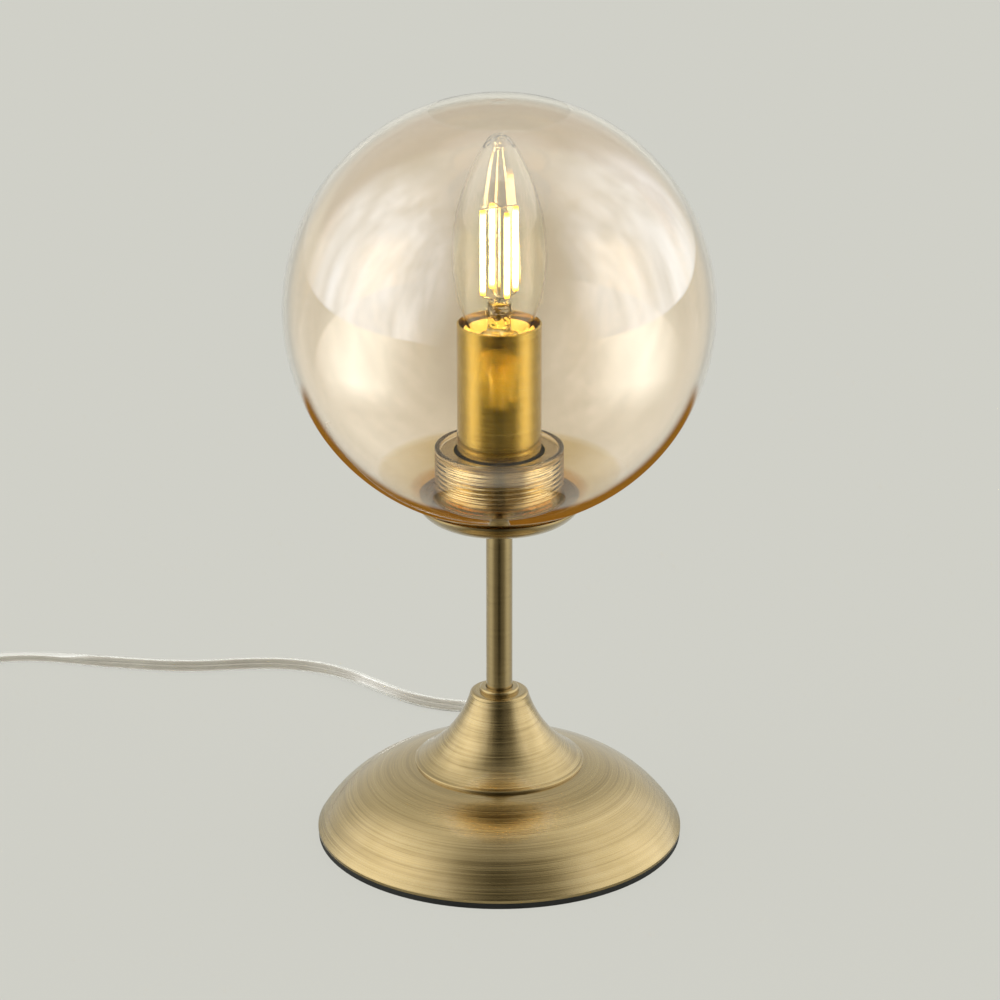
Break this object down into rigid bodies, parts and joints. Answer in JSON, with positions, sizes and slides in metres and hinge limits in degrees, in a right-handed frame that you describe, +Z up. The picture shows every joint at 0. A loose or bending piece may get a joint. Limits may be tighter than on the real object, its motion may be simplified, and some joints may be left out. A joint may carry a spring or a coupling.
{
  "type": "table lamp",
  "caption": "Table lamp: amber glass globe with a folded neck on a brass gallery, slim stem, bell and domed base, candle bulb, clear lead with rocker switch and flat plug.",
  "frame": {"origin": "middle of the base pad's underside, on the surface that the lamp stands on", "axes": "+Z up along the stem; -Y towards the viewer; +Y the back, where the lead comes out"},
  "size_m": [0.3956, 0.248, 0.2902],
  "materials": {
    "antique_brass": "brushed round the axis, aged, semi-gloss",
    "pad_rubber": "matt",
    "iron": "rough casting",
    "zinc_steel": "zinc plated",
    "cream_plastic": "matt thermoset",
    "contact_brass": "bright stamped",
    "nickel": "nickel plated",
    "amber_glass": "blown, polished, pale amber",
    "clear_glass": "blown, clear",
    "black_glaze": "glossy vitrite",
    "filament_phosphor": "yellow phosphor coat, lit",
    "lead_wire": "drawn wire",
    "circuit_board": "lacquered board",
    "clear_pvc": "clear, with pale cores showing",
    "white_pvc": "smooth",
    "ivory_plastic": "moulded, semi-gloss",
    "black_plastic": "moulded"
  },
  "bodies": {
    "lamp": {"base_pad": "pad_rubber", "base_dome": "antique_brass", "base_weight": "iron", "cord_bush": "clear_pvc", "base_bell": "antique_brass", "stem_tube": "antique_brass", "stem_collar": "antique_brass", "base_tooth_washer": "zinc_steel", "base_lock_nut": "zinc_steel", "gallery_nut": "antique_brass", "gallery_dish": "antique_brass", "gallery_cup": "antique_brass", "gallery_cover": "antique_brass", "socket_sleeve": "antique_brass", "holder_nut": "zinc_steel", "lampholder_base": "cream_plastic", "lampholder_body": "cream_plastic", "lampholder_shell": "contact_brass", "lampholder_contact": "contact_brass", "terminal_screws": "zinc_steel", "inner_lead": "clear_pvc", "lead_cores": "white_pvc", "cord_lead": "clear_pvc", "cord_coil": "clear_pvc", "switch_lower": "ivory_plastic", "switch_upper": "ivory_plastic", "switch_screws": "zinc_steel", "switch_terminals": "contact_brass", "plug_body": "ivory_plastic", "plug_pins": "nickel", "plug_pin_sleeves": "black_plastic"},
    "globe": {"globe": "amber_glass"},
    "bulb": {"bulb_glass": "clear_glass", "bulb_cap": "nickel", "bulb_insulator": "black_glaze", "bulb_contact": "nickel", "bulb_press": "clear_glass", "bulb_filaments": "filament_phosphor", "bulb_leads": "lead_wire", "bulb_driver": "circuit_board"},
    "rocker": {"switch_rocker": "ivory_plastic"}
  },
  "joints": [
    {"name": "globe_lift", "type": "slide", "parent": "lamp", "child": "globe", "axis": [0, 0, 1], "range_m": [0, 0.15]},
    {"name": "bulb_lift", "type": "slide", "parent": "lamp", "child": "bulb", "axis": [0, 0, 1], "range_m": [0, 0.027]},
    {"name": "switch_rocker_tilt", "type": "hinge", "parent": "lamp", "child": "rocker", "pos_m": [-0.232, 0.096, 0.0115], "axis": [-1, 0, 0], "range_deg": [0, 14]}
  ],
  "couplings": [
    {"joint": "bulb_lift", "follows": "globe_lift", "ratio": 0.18}
  ]
}
